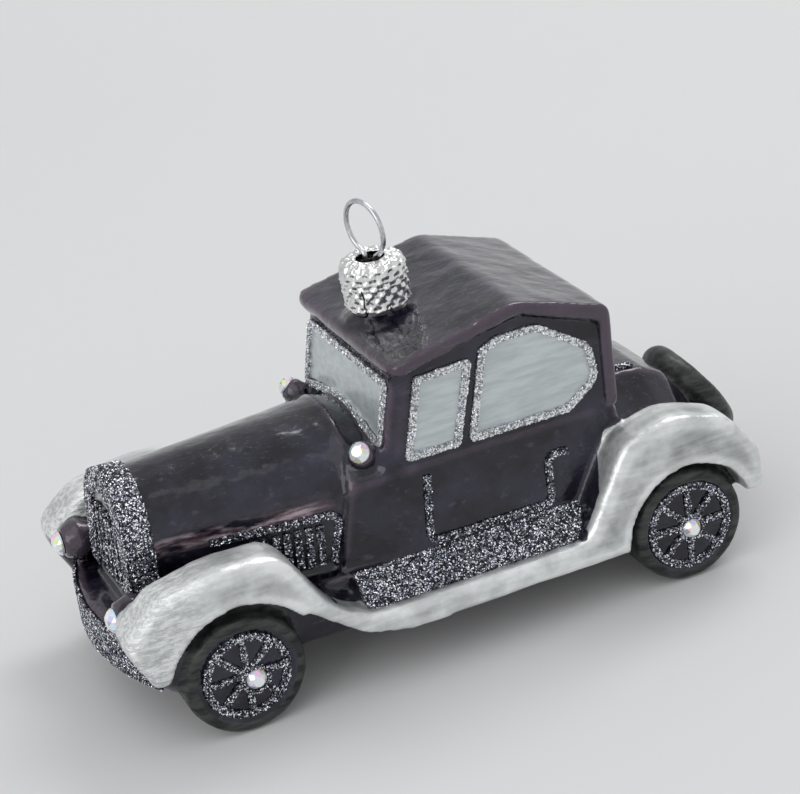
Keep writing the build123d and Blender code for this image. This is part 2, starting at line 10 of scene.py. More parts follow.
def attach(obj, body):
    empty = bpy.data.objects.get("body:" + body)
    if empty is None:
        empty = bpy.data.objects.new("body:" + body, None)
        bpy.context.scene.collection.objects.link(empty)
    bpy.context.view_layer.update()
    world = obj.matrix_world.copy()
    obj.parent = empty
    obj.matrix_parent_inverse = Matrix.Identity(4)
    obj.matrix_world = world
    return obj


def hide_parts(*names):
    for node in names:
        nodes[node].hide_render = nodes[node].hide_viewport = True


# A blown glass tree ornament in the form of a 1920s coupe. The frame brings its glass form, cap,
# hanger, crystals and glitter layers. This script gives each its real finish, from the glass
# outwards: lacquered glass, glued glitter, crystals, cap and wire. Lengths are in metres, and
# sizes of the ornament are written in millimetres times MM.
MM = 0.001
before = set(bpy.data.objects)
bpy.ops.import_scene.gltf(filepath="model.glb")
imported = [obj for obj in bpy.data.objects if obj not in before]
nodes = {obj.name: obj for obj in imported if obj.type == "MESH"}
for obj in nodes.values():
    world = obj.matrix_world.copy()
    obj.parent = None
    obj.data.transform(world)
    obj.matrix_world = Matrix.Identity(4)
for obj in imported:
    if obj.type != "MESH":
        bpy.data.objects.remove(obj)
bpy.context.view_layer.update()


# Camera
# The picture was taken with a long lens from the car's left front, looking down on it.
camera_place = Vector((139.1, 365.7, 223.7)) * MM
camera_right = Vector((-0.90603, 0.40425, -0.12523))
camera_up = Vector((-0.27637, -0.34108, 0.89849))
camera_data = bpy.data.cameras.new("camera")
camera_data.lens = 101.3
camera_data.sensor_width = 36.0
camera_data.clip_start = 0.01
camera = bpy.data.objects.new("camera", camera_data)
turn = Matrix((camera_right, camera_up, camera_right.cross(camera_up))).transposed()
camera.matrix_world = Matrix.Translation(camera_place) @ turn.to_4x4()
bpy.context.collection.objects.link(camera)
bpy.context.scene.camera = camera
bpy.context.scene.view_settings.view_transform = "Standard"


# Finishes
# Every surface of the ornament and its floor is a Finish, which is one material. Its node() adds
# any node, and a Socket wraps a node's output, so that a mask is written as an expression.
class Socket:
    def __init__(self, finish, output):
        self.finish = finish
        self.output = output

    def math(self, operation, *values):
        return self.finish.node("ShaderNodeMath", {"operation": operation}, (self, *values))

    def __add__(self, other):
        return self.math("ADD", other)

    def __sub__(self, other):
        return self.math("SUBTRACT", other)

    def __mul__(self, other):
        return self.math("MULTIPLY", other)

    def __rsub__(self, other):
        return self.finish.node("ShaderNodeMath", {"operation": "SUBTRACT"}, (other, self))

    __radd__ = __add__
    __rmul__ = __mul__

    def step(self, low, high):
        """0 under low, 1 over high, smooth between."""
        return self.finish.node(
            "ShaderNodeMapRange",
            {"interpolation_type": "SMOOTHSTEP"},
            {"Value": self, "From Min": low, "From Max": high},
        )


class Finish:
    def __init__(self, name):
        self.material = bpy.data.materials.new(name)
        self.material.use_nodes = True
        self.tree = self.material.node_tree
        self.tree.nodes.clear()
        self.place = self.node("ShaderNodeTexCoord", output="Object")

    def node(self, kind, settings=None, sockets=(), output=0):
        """Adds a node, sets its settings and then its sockets, and gives one output."""
        node = self.tree.nodes.new(kind)
        for name, value in (settings or {}).items():
            if name == "stops":
                ramp = node.color_ramp.elements
                while len(ramp) < len(value):
                    ramp.new(0.5)
                for element, (position, colour) in zip(ramp, value):
                    element.position = position
                    element.color = (*colour, 1.0)
            else:
                setattr(node, name, value)
        pairs = sockets.items() if isinstance(sockets, dict) else enumerate(sockets)
        for name, value in pairs:
            if isinstance(value, Socket):
                self.tree.links.new(value.output, node.inputs[name])
            elif node.inputs[name].type == "RGBA":
                node.inputs[name].default_value = (*value, 1.0)
            else:
                node.inputs[name].default_value = value
        return Socket(self, node.outputs[output])

    def stored(self, name):
        """A number kept on the mesh's points."""
        return self.node("ShaderNodeAttribute", {"attribute_name": name}, output="Fac")

    def noise(self, scale, detail=2.0, roughness=0.5, stretch=(1.0, 1.0, 1.0)):
        """Noise whose grain is about one over scale, in millimetres, stretched along the axes."""
        grain = tuple(factor / MM for factor in stretch)
        spot = self.node("ShaderNodeMapping", {}, {"Vector": self.place, "Scale": grain})
        return self.node(
            "ShaderNodeTexNoise",
            {},
            {"Vector": spot, "Scale": scale, "Detail": detail, "Roughness": roughness},
            output="Fac",
        )

    def mix(self, factor, first, second):
        """A colour between two, by a factor."""
        return self.node(
            "ShaderNodeMix",
            {"data_type": "RGBA"},
            {0: factor, 6: first, 7: second},
            output=2,
        )

    def blend(self, factor, first, second):
        """A number between two, by a factor."""
        return self.node("ShaderNodeMix", {}, {0: factor, 2: first, 3: second})

    def bump(self, height, strength, distance):
        return self.node(
            "ShaderNodeBump",
            {},
            {"Height": height, "Strength": strength, "Distance": distance},
        )

    def surface(self, **sockets):
        """Ends the material in one Principled surface. Names are its sockets' in small letters."""
        named = {
            name.replace("_", " ").title().replace("Ior", "IOR"): value
            for name, value in sockets.items()
        }
        shader = self.node("ShaderNodeBsdfPrincipled", {}, named)
        out = self.tree.nodes.new("ShaderNodeOutputMaterial")
        self.tree.links.new(shader.output, out.inputs["Surface"])
        return self.material


# Floor and light
# The ornament stands on a seamless sheet of pale paper, in soft daylight from windows behind,
# over and before it.
floor_half = 1.6
floor_back = 0.35
floor_bend = 0.5
floor_rise = 1.2
floor_turn = -math.radians(20.7)
floor_mesh = bpy.data.meshes.new("floor")
sheet = [(floor_half, 0.0), (-floor_back, 0.0)]
sheet += [
    (-floor_back - floor_bend * math.sin(a), floor_bend * (1 - math.cos(a)))
    for a in np.linspace(0.1, math.pi / 2, 12)
]
sheet.append((-floor_back - floor_bend, floor_rise))
floor_mesh.from_pydata(
    [(x, y, z) for y, z in sheet for x in (-floor_half, floor_half)],
    [],
    [(2 * i, 2 * i + 1, 2 * i + 3, 2 * i + 2) for i in range(len(sheet) - 1)],
)
floor_mesh.flip_normals()
for face in floor_mesh.polygons:
    face.use_smooth = True
floor = bpy.data.objects.new("floor", floor_mesh)
floor.rotation_euler.z = floor_turn
bpy.context.collection.objects.link(floor)
paper = Finish("pale paper")
floor_mesh.materials.append(paper.surface(base_color=(0.645, 0.645, 0.645), roughness=0.9))

world = bpy.data.worlds.new("daylight")
bpy.context.scene.world = world
world.use_nodes = True
world.node_tree.nodes["Background"].inputs["Color"].default_value = (0.97, 0.98, 1.0, 1.0)
world.node_tree.nodes["Background"].inputs["Strength"].default_value = 0.75


def soft_lamp(name, place, size, watts):
    """A square lamp that faces the middle of the ornament."""
    middle = Vector((0, 0, 0.03))
    data = bpy.data.lights.new(name, "AREA")
    data.size = size
    data.energy = watts
    lamp = bpy.data.objects.new(name, data)
    lamp.location = place
    lamp.rotation_euler = (middle - Vector(place)).to_track_quat("-Z", "Y").to_euler()
    bpy.context.collection.objects.link(lamp)


soft_lamp("window behind", (-0.7, -0.5, 1.1), 0.7, 7.0)
soft_lamp("window over", (0.5, 0.3, 1.2), 1.1, 2.0)
soft_lamp("window before", (0.9, 0.45, 0.5), 0.7, 2.6)


# Blown glass
# The car is one glass form from a two-part mould, so its edges are soft and its walls ripple.
# It is silvered inside and painted by hand: black lacquer with a plum tint and a wine-coloured
# streak that is partly a painted highlight band, silver mudguards and radiator header, graphite
# tyres and grey-green panes.
glass_voxel = 0.67 * MM
glass_melt = 5
ripple_depth = 0.16 * MM
ripple_width = 7.0
ripplet_width = 2.8
ripplet_share = 0.45
pane_lap = 0.4
pane_reach = 1.0
bearing_count = 180
edge_steps = 160
screen_rake = math.radians(12.2)
header_low_x = 59.3
header_low_z = 36.4
header_half = 9.5
axle_x = (48.0, -44.0)
axle_z = 11.7
tyre_radii = (9.55, 12.7)
tyre_inner_y = 17.6
spare_centre = np.array((-61.31, 0.0, 25.0))
spare_lean = math.radians(33.0)
spare_radii = (8.5, 13.5)
spare_back = 2.6
guard_crown_x = (-61, -60.2, -54, -42, -30.8, -21.5, 22, 29, 38.4, 50, 61.8, 69.8)
guard_crown_z = (15, 24, 32.3, 36.4, 33.2, 15.8, 15.8, 19.0, 33.8, 34.3, 32.0, 25.2)
guard_crown_lap = 0.5
guard_outer_y = 24.4
guard_shoulder_z = 24.5
guard_inner_x = (-61, -30, -26, 22, 26, 70)
guard_inner_y = (19.6, 19.6, 27.0, 27.0, 19.6, 19.6)
guard_foot_x = (-62, -44, -30, 17, 24.6, 35.5, 45, 70)
guard_foot_z = (14.6, 14.6, 10.2, 10.1, 12.0, 20.0, 14.6, 14.6)
arch_radius = (14.2, 12.9)
# Where the wine streak on the bonnet's side lies; its pale part is a painted highlight band
streak_x = (20 * MM, 32 * MM)
streak_foot_z = (31.0 * MM, 32.6 * MM)
streak_head_z = (34.2 * MM, 35.3 * MM)
front_tip_x = (46 * MM, 62 * MM)


def bare_copy(node):
    """A merged copy of a frame node's mesh, as a bmesh."""
    copy = bmesh.new()
    copy.from_mesh(nodes[node].data)
    bmesh.ops.remove_doubles(copy, verts=copy.verts, dist=0.002 * MM)
    return copy


def as_piece(name, mesh, body, material, *replaced):
    """Puts a finished mesh in the scene as a piece that rides on a body."""
    piece = bpy.data.objects.new(name, mesh)
    bpy.context.collection.objects.link(piece)
    mesh.materials.clear()
    mesh.materials.append(material)
    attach(piece, body)
    if replaced:
        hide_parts(*replaced)
    return piece


def evaluated(mesh, name, modifiers):
    """The plain mesh that modifiers make of a mesh. Each is a type and its settings."""
    work = bpy.data.objects.new(name, mesh)
    bpy.context.collection.objects.link(work)
    for kind, settings in modifiers:
        modifier = work.modifiers.new(kind.lower(), kind)
        for key, value in settings.items():
            setattr(modifier, key, value)
    ready = work.evaluated_get(bpy.context.evaluated_depsgraph_get())
    result = bpy.data.meshes.new_from_object(ready)
    bpy.data.objects.remove(work)
    result.name = name
    return result


glass_cad = bare_copy("glass_body")
glass_tree = BVHTree.FromBMesh(glass_cad)
rough_mesh = bpy.data.meshes.new("glass")
glass_cad.to_mesh(rough_mesh)
glass_mesh = evaluated(
    rough_mesh,
    "blown_glass",
    [
        ("REMESH", {"mode": "VOXEL", "voxel_size": glass_voxel}),
        ("SMOOTH", {"factor": 0.5, "iterations": glass_melt}),
    ],
)
points = np.empty(len(glass_mesh.vertices) * 3)
glass_mesh.vertices.foreach_get("co", points)
points = points.reshape(-1, 3) / MM
normals = np.empty(len(points) * 3)
glass_mesh.vertices.foreach_get("normal", normals)
normals = normals.reshape(-1, 3)

# Edge: how far a point stands out from its neighbours
edges = np.empty(len(glass_mesh.edges) * 2, dtype=int)
glass_mesh.edges.foreach_get("vertices", edges)
edges = edges.reshape(-1, 2)
count = np.bincount(edges.ravel(), minlength=len(points))


def neighbours(values):
    """Each point's mean of the values at its neighbours."""
    total = np.zeros_like(values)
    np.add.at(total, edges[:, 0], values[edges[:, 1]])
    np.add.at(total, edges[:, 1], values[edges[:, 0]])
    return total / (count[:, None] if values.ndim > 1 else count)


bend = np.einsum("ij,ij->i", points - neighbours(points), normals)
for _ in range(3):
    bend = neighbours(bend)

# Painted zones: each is a distance in millimetres, over 0 inside the zone
x, y, z = points.T
side = np.abs(y)
axle_gap = [np.hypot(x - ax, z - axle_z) for ax in axle_x]
spare_axis = np.array((-math.cos(spare_lean), 0.0, math.sin(spare_lean)))
spare_offset = points - spare_centre
spare_along = spare_offset @ spare_axis
spare_gap = np.linalg.norm(spare_offset - spare_along[:, None] * spare_axis, axis=1)
tyres = [
    np.minimum.reduce([gap - tyre_radii[0], tyre_radii[1] - gap, side - tyre_inner_y])
    for gap in axle_gap
]
spare_tyre = [spare_gap - spare_radii[0], spare_radii[1] - spare_gap, spare_along + spare_back]
tyre = np.maximum.reduce([*tyres, np.minimum.reduce(spare_tyre)])
header = np.minimum.reduce([x - header_low_x, z - header_low_z, header_half - side])
silver = np.minimum.reduce(
    [
        np.interp(x, guard_crown_x, guard_crown_z) + guard_crown_lap - z,
        side - np.interp(x, guard_inner_x, guard_inner_y),
        np.maximum(side - guard_outer_y, z - guard_shoulder_z),
        z - np.interp(x, guard_foot_x, guard_foot_z),
        axle_gap[0] - arch_radius[0],
        axle_gap[1] - arch_radius[1],
    ]
)
silver = np.maximum(silver, header)


def inside_border(border, across, up):
    """Distance inside a glitter border, seen along its wall, for the points near that wall.

    The border's inner outline is the least reach of its edges, at each bearing from its middle.
    """
    corners = np.array([v.co for v in nodes[border].data.vertices]) / MM
    ends = np.array([edge.vertices for edge in nodes[border].data.edges])
    share = np.linspace(0, 1, edge_steps)[:, None, None]
    rim = (corners[ends[:, 0]] * (1 - share) + corners[ends[:, 1]] * share).reshape(-1, 3)
    flat = np.stack((rim @ across, rim @ up), axis=1)
    centre = (flat.min(axis=0) + flat.max(axis=0)) / 2
    seen = np.stack((points @ across, points @ up), axis=1) - centre
    bearings = np.linspace(-math.pi, math.pi, bearing_count, endpoint=False)
    bearing = np.arctan2(*(flat - centre).T[::-1])
    slot = np.round((bearing + math.pi) / (2 * math.pi) * bearing_count).astype(int)
    inner = np.full(bearing_count, np.inf)
    np.minimum.at(inner, slot % bearing_count, np.linalg.norm(flat - centre, axis=1))
    met = np.isfinite(inner)
    reach = np.interp(np.arctan2(*seen.T[::-1]), bearings[met], inner[met], period=2 * math.pi)
    depth = reach + pane_lap - np.linalg.norm(seen, axis=1)
    wall = np.cross(across, up)
    off_wall = np.abs(points @ wall - corners.mean(axis=0) @ wall)
    return np.minimum(depth, pane_reach - off_wall)


def both(*names):
    """The names of the left and the right node of each pair."""
    return [f"{name}_{side}" for name in names for side in ("left", "right")]


east, north, zenith = np.eye(3)
screen_up = np.array((-math.sin(screen_rake), 0.0, math.cos(screen_rake)))
side_windows = both("front_window_glitter", "rear_window_glitter")
pane = np.maximum.reduce(
    [inside_border(border, east, zenith) for border in side_windows]
    + [
        inside_border("windscreen_glitter", north, screen_up),
        inside_border("back_window_glitter", north, zenith),
    ]
)

# Ripples of the blown wall
ripple = np.array([noise.noise(Vector(p) / ripple_width) for p in points])
ripple += ripplet_share * np.array([noise.noise(Vector(p) / ripplet_width) for p in points])
points += normals * (ripple * ripple_depth / MM)[:, None]
glass_mesh.vertices.foreach_set("co", (points * MM).ravel())
for name, values in {"edge": bend, "tyre": tyre, "silver": silver, "pane": pane}.items():
    stored = glass_mesh.attributes.new(name, "FLOAT", "POINT")
    stored.data.foreach_set("value", np.clip(values, -3, 3))
for face in glass_mesh.polygons:
    face.use_smooth = True

paint = Finish("hand painted glass")
wobble = paint.noise(0.45, 3.0) * 1.2 - 0.6
silver_mask = (paint.stored("silver") + wobble * 0.7).step(-0.15, 0.15)
tyre_mask = (paint.stored("tyre") + wobble * 0.4).step(-0.15, 0.15)
pane_mask = (paint.stored("pane") + wobble * 0.3).step(-0.1, 0.1)
cloud = paint.noise(0.09, 4.0, 0.6)
brush = paint.noise(0.55, 4.0, 0.6, (0.25, 1.0, 1.6))
bristles = brush.step(0.3, 0.7)
forward, upward = (
    paint.node("ShaderNodeSeparateXYZ", {}, {"Vector": paint.place}, output=axis) for axis in "XZ"
)


def painted(join, lacquer, silver, tyre, pane):
    """One value for each zone of paint, joined by the zones' masks."""
    return join(pane_mask, join(tyre_mask, join(silver_mask, lacquer, silver), tyre), pane)


# Lacquer: plum black with hammered dimples whose lighter spots are painted highlights, a wine
# streak along the bonnet's foot that is partly a painted highlight band, and edges made lighter
# by wear and by a painted sheen
hammer = paint.noise(0.8, 2.0, 0.5, (0.5, 1.0, 0.9))
pits = paint.noise(1.5, 2.0, 0.5, (0.45, 1.0, 1.0)).step(0.60, 0.70)
# The streak: a wine tint in the lacquer, partly a painted highlight band
streak = upward.step(*streak_foot_z) * (1 - upward.step(*streak_head_z)) * forward.step(*streak_x)
streak = streak * paint.noise(0.22, 3.0, 0.6, (0.5, 1.0, 1.6)).step(0.40, 0.58)
# Dark wine lightening to a pale pink-grey, which is a painted highlight
wine_and_sheen = paint.mix(brush.step(0.4, 0.6), (0.17, 0.10, 0.12), (0.50, 0.42, 0.47))
# Edges that stand out are lighter: partly wear of the lacquer, partly a painted sheen along them
wear_and_edge_sheen = paint.stored("edge").step(0.006, 0.035)
plum = paint.mix(cloud.step(0.35, 0.7), (0.003, 0.003, 0.007), (0.026, 0.024, 0.044))
# Lighter spots on the hammered dimples are painted highlights
plum = paint.mix(hammer.step(0.58, 0.76) * 0.3, plum, (0.10, 0.09, 0.13))
plum = paint.mix(streak * 0.85, plum, wine_and_sheen)
plum = paint.mix(wear_and_edge_sheen * 0.35, plum, (0.17, 0.12, 0.165))
dimples = hammer * 0.6 + paint.noise(0.22, 2.0) * 1.6 - pits * 0.35

# Silver: brushed, with a painted highlight on the rounded rolls of its edges and painted shade on
# its flat flanks, and wrinkled at the front mudguards' tips
wrinkle = paint.noise(1.0, 6.0, 0.68, (0.45, 1.0, 1.5))
front_tip = forward.step(*front_tip_x)
# Painted light: rounded edges get a painted highlight, flat and hollow flanks painted shade
rolled_edge_highlight = paint.stored("edge").step(-0.004, 0.018)
satin_and_painted_light = bristles * 0.22 + cloud.step(0.36, 0.64) * 0.45 + rolled_edge_highlight * 0.45
foil_tip = paint.mix(wrinkle.step(0.40, 0.60), (0.56, 0.58, 0.57), (0.96, 0.98, 0.97))
metal = paint.mix(satin_and_painted_light, (0.27, 0.285, 0.28), (0.86, 0.88, 0.87))
metal = paint.mix(front_tip * 0.75, metal, foil_tip)
strokes = brush * 0.7 + cloud * 2.0 + paint.noise(1.6, 3.0) * 0.3 + front_tip * wrinkle * 4.0

# Tyres and panes
rubber = paint.mix(bristles, (0.013, 0.014, 0.014), (0.062, 0.064, 0.062))
window = paint.mix(bristles, (0.46, 0.51, 0.52), (0.58, 0.63, 0.64))

relief = paint.blend(silver_mask, dimples, strokes)
relief = paint.blend(pane_mask, relief, brush * 0.5)
glass_material = paint.surface(
    base_color=painted(paint.mix, plum, metal, rubber, window),
    roughness=painted(paint.blend, cloud * 0.24 + 0.02, brush * 0.20 + 0.22, 0.42, 0.38),
    metallic=painted(paint.blend, 0.35, 0.65, 0.4, 0.55),
    coat_weight=paint.blend(tyre_mask, paint.blend(silver_mask, 0.62, 0.3), 0.1),
    coat_roughness=0.06,
    specular_ior_level=0.3,
    normal=paint.bump(relief, 0.5, 0.32 * MM),
)
glass = as_piece("blown_glass", glass_mesh, "glass", glass_material, "glass_body")


# Glitter
# Borders, bars, boards, louvres and spokes are lines of glue strewn with foil glitter. The CAD
# layers are the glue. Geometry Nodes strew flakes on their faces that don't lie on the glass.
flake_size = 0.19 * MM
flake_thickness = 0.03 * MM
flake_tilt = math.radians(44)
flakes_per_area = 13 / MM**2
seat_gap = 0.08 * MM

# Each piece of flakes, with its foil and the layers that it lies on
glitter_groups = {
    "window_flakes": (
        "silver",
        ["windscreen_glitter", "back_window_glitter", *side_windows],
    ),
    "radiator_flakes": ("charcoal", ["grille_shell_glitter", "grille_bars_glitter"]),
    "apron_flakes": ("charcoal", ["apron_glitter"]),
    "running_board_flakes": ("charcoal", both("running_board_glitter")),
    "wheel_flakes": (
        "charcoal",
        ["spare_wheel_glitter", *both("front_wheel_glitter", "rear_wheel_glitter")],
    ),
    "body_line_flakes": (
        "charcoal",
        both("door_line_glitter", "louvre_glitter", "deck_line_glitter"),
    ),
}

flake_tree = bpy.data.node_groups.new("strewn flakes", "GeometryNodeTree")
for name, kind in (
    ("Bed", "Geometry"),
    ("Flakes Per Area", "Float"),
    ("Flake Size", "Float"),
    ("Flake Thickness", "Float"),
    ("Tilt", "Vector"),
    ("Seed", "Int"),
    ("Foil", "Material"),
):
    flake_tree.interface.new_socket(name, in_out="INPUT", socket_type=f"NodeSocket{kind}")
flake_tree.interface.new_socket("Flakes", in_out="OUTPUT", socket_type="NodeSocketGeometry")


def strew(kind, settings=None, sockets=None):
    """A node of the flake tree. Sockets are values, or outputs to link."""
    node = flake_tree.nodes.new(kind)
    for name, value in (settings or {}).items():
        setattr(node, name, value)
    for name, value in (sockets or {}).items():
        if isinstance(value, bpy.types.NodeSocket):
            flake_tree.links.new(value, node.inputs[name])
        else:
            node.inputs[name].default_value = value
    return node.outputs


asked = strew("NodeGroupInput")
opposite = strew(
    "ShaderNodeVectorMath", {"operation": "SCALE"}, {"Vector": asked["Tilt"], "Scale": -1.0}
)
spread = strew(
    "GeometryNodeDistributePointsOnFaces",
    {"distribute_method": "RANDOM"},
    {"Mesh": asked["Bed"], "Density": asked["Flakes Per Area"], "Seed": asked["Seed"]},
)
blank = strew("GeometryNodeMeshUVSphere", {}, {"Segments": 4, "Rings": 2, "Radius": 1.0})
flat = strew(
    "ShaderNodeCombineXYZ",
    {},
    {"X": asked["Flake Size"], "Y": asked["Flake Size"], "Z": asked["Flake Thickness"]},
)
flake = strew("GeometryNodeTransform", {}, {"Geometry": blank[0], "Scale": flat[0]})
lean = strew(
    "FunctionNodeRandomValue",
    {"data_type": "FLOAT_VECTOR"},
    {0: opposite[0], 1: asked["Tilt"], "Seed": 3},
)
turned = strew("FunctionNodeEulerToRotation", {}, {0: lean[0]})
laid = strew(
    "FunctionNodeRotateRotation",
    {"rotation_space": "LOCAL"},
    {0: spread["Rotation"], 1: turned[0]},
)
worth = strew("FunctionNodeRandomValue", {"data_type": "FLOAT"}, {2: 0.6, 3: 1.35, "Seed": 5})
# A random tone per flake: partly the foil's own tone, partly painted glints and shade
tone = strew("FunctionNodeRandomValue", {"data_type": "FLOAT"}, {2: 0.0, 3: 1.0, "Seed": 7})
strewn = strew(
    "GeometryNodeInstanceOnPoints",
    {},
    {"Points": spread["Points"], "Instance": flake[0], "Rotation": laid[0], "Scale": worth[1]},
)
toned = strew(
    "GeometryNodeStoreNamedAttribute",
    {"data_type": "FLOAT", "domain": "INSTANCE"},
    {"Geometry": strewn[0], "Name": "tone", "Value": tone[1]},
)
whole = strew("GeometryNodeRealizeInstances", {}, {"Geometry": toned[0]})
foiled = strew("GeometryNodeSetMaterial", {}, {"Geometry": whole[0], "Material": asked["Foil"]})
strew("NodeGroupOutput", {}, {"Flakes": foiled[0]})


def open_bed(names):
    """The faces of glitter layers that don't lie on the glass, as one mesh."""
    bed = bmesh.new()
    for name in names:
        bed.from_mesh(nodes[name].data)
    bed.normal_update()
    seated = []
    for face in bed.faces:
        spot, glass_normal, _, gap = glass_tree.find_nearest(face.calc_center_median())
        if gap < seat_gap and glass_normal.dot(face.normal) < -0.5:
            seated.append(face)
    bmesh.ops.delete(bed, geom=seated, context="FACES")
    mesh = bpy.data.meshes.new("bed")
    bed.to_mesh(mesh)
    bed.free()
    return mesh


foils = {}
glues = {}
for name, stops, glue_colours in (
    (
        "charcoal",
        [
            (0.0, (0.010, 0.010, 0.016)),
            (0.32, (0.040, 0.040, 0.055)),
            (0.44, (0.27, 0.27, 0.33)),
            (0.53, (0.94, 0.95, 0.99)),
            (1.0, (1.0, 1.0, 1.0)),
        ],
        ((0.012, 0.012, 0.017), (0.16, 0.16, 0.20)),
    ),
    (
        "silver",
        [
            (0.0, (0.22, 0.22, 0.23)),
            (0.12, (0.60, 0.60, 0.62)),
            (0.26, (0.96, 0.97, 0.97)),
            (1.0, (1.0, 1.0, 1.0)),
        ],
        ((0.24, 0.24, 0.25), (0.80, 0.81, 0.82)),
    ),
):
    foil = Finish(f"{name} foil flakes")
    # Flake colour from near black to white: partly the foil's tone, partly painted glints and
    # painted shade
    shade = foil.node(
        "ShaderNodeValToRGB", {"stops": stops}, {"Fac": foil.stored("tone")}, output="Color"
    )
    tint = foil.mix(foil.noise(1.7, 1.0).step(0.45, 0.7), (1.0, 1.0, 1.0), (0.80, 0.86, 1.0))
    foils[name] = foil.surface(
        base_color=foil.node(
            "ShaderNodeMix",
            {"data_type": "RGBA", "blend_type": "MULTIPLY"},
            {0: 1.0, 6: shade, 7: tint},
            output=2,
        ),
        metallic=0.85,
        roughness=0.18,
    )
    glue = Finish(f"{name} glitter glue")
    grit = glue.node(
        "ShaderNodeTexVoronoi", {}, {"Vector": glue.place, "Scale": 2600.0}, output="Color"
    )
    spark = glue.node("ShaderNodeSeparateColor", {}, {"Color": grit})
    glues[name] = glue.surface(
        base_color=glue.mix(spark.step(0.55, 0.8), *glue_colours),
        metallic=0.6,
        roughness=0.4,
        normal=glue.bump(spark, 0.8, 0.15 * MM),
    )

for seed, (name, (colour_name, names)) in enumerate(glitter_groups.items()):
    for node in names:
        nodes[node].data.materials.clear()
        nodes[node].data.materials.append(glues[colour_name])
    bed = bpy.data.objects.new(name, open_bed(names))
    bpy.context.collection.objects.link(bed)
    modifier = bed.modifiers.new("strew", "NODES")
    modifier.node_group = flake_tree
    values = {
        "Flakes Per Area": flakes_per_area,
        "Flake Size": flake_size,
        "Flake Thickness": flake_thickness,
        "Tilt": (flake_tilt, flake_tilt, math.pi),
        "Seed": seed,
        "Foil": foils[colour_name],
    }
    for item in flake_tree.interface.items_tree:
        if item.name in values:
            modifier[item.identifier] = values[item.name]
    ready = bed.evaluated_get(bpy.context.evaluated_depsgraph_get())
    flakes = bpy.data.meshes.new_from_object(ready)
    flakes.name = name
    bpy.data.objects.remove(bed)
    piece = as_piece(name, flakes, "glass", foils[colour_name])


# Crystals
# Flat-backed rhinestones are glued to the lamps, the cowl and the hubs. Each facet's colour is a
# painted flash: the pale and grey facets are painted reflections, the dark one painted shade,
# and the tinted ones the tints of a thin metal coating on the cut glass.
# Corners, reach and rise of each ring, as shares of the stone's, and its turn in corners
stone_rings = ((16, 1.0, 0.0, 0.0), (16, 1.0, 0.22, 0.0), (8, 0.80, 0.66, 0.5), (8, 0.52, 1.0, 0.0))
# Facet colours: pale and grey ones are painted reflections, the dark one painted shade, the tinted
# ones the coating's tints
painted_stone_flashes = (
    (0.84, 0.86, 0.90),
    (0.92, 0.94, 0.96),
    (0.74, 0.76, 0.80),
    (0.96, 0.96, 0.95),
    (0.88, 0.90, 0.92),
    (0.80, 0.84, 0.90),
    (0.70, 0.64, 0.96),
    (0.62, 0.88, 1.0),
    (0.82, 0.96, 0.45),
    (1.0, 0.70, 0.40),
    (0.96, 0.62, 0.84),
    (0.42, 0.44, 0.52),
)
# The headlamps' stones are a size larger than the rest
stone_growth = {"headlamp_stones": 1.2}
stones = {
    "headlamp_stones": both("headlamp_crystal"),
    "cowl_stones": both("cowl_crystal"),
    "hub_stones": both("front_hub_crystal", "rear_hub_crystal"),
    "spare_wheel_stone": ["spare_wheel_crystal"],
}


def flat_back(node):
    """Centre, outward axis, radius and height of a frame crystal, from its flat back."""
    crystal = bare_copy(node)
    bmesh.ops.dissolve_limit(crystal, angle_limit=0.01, verts=crystal.verts, edges=crystal.edges)
    back = max(crystal.faces, key=lambda face: face.calc_area())
    centre = sum((v.co for v in back.verts), Vector()) / len(back.verts)
    axis = -back.normal
    radius = (back.verts[0].co - centre).length
    height = max((v.co - centre).dot(axis) for v in crystal.verts)
    crystal.free()
    return centre, axis, radius, height


def add_stone(cut, centre, axis, radius, height):
    """Adds one brilliant-cut stone to a bmesh."""
    turn = axis.to_track_quat("Z", "Y").to_matrix()
    rings = []
    for corners, reach, rise, shift in stone_rings:
        ring = []
        for i in range(corners):
            angle = 2 * math.pi * (i + shift) / corners
            spot = Vector((math.cos(angle), math.sin(angle), 0)) * reach * radius
            ring.append(cut.verts.new(centre + turn @ (spot + Vector((0, 0, rise * height)))))
        rings.append(ring)
    back, girdle, crown, table = rings
    cut.faces.new(reversed(back))
    cut.faces.new(table)
    for i in range(16):
        cut.faces.new((back[i], back[(i + 1) % 16], girdle[(i + 1) % 16], girdle[i]))
    for i in range(8):
        after = (i + 1) % 8
        cut.faces.new((table[i], crown[i], table[after]))
        cut.faces.new((crown[i - 1], girdle[2 * i], crown[i], table[i]))
        cut.faces.new((girdle[2 * i], girdle[2 * i + 1], crown[i]))
        cut.faces.new((girdle[2 * i + 1], girdle[(2 * i + 2) % 16], crown[i]))


stone = Finish("coated crystal")
stone_material = stone.surface(
    base_color=stone.node("ShaderNodeAttribute", {"attribute_name": "flash"}, output="Color"),
    metallic=0.35,
    roughness=0.07,
    coat_weight=1.0,
    coat_roughness=0.03,
)
flash_choice = np.random.default_rng(11)
for name, replaced in stones.items():
    cut = bmesh.new()
    for node in replaced:
        centre, axis, radius, height = flat_back(node)
        add_stone(cut, centre, axis, radius * stone_growth.get(name, 1.0), height)
    bmesh.ops.recalc_face_normals(cut, faces=cut.faces)
    cut_mesh = bpy.data.meshes.new(name)
    cut.to_mesh(cut_mesh)
    cut.free()
    flash = cut_mesh.attributes.new("flash", "FLOAT_COLOR", "FACE")
    picked = flash_choice.integers(0, len(painted_stone_flashes), len(cut_mesh.polygons))
    flash.data.foreach_set("color", [c for i in picked for c in (*painted_stone_flashes[i], 1.0)])
    piece = as_piece(name, cut_mesh, "glass", stone_material, *replaced)


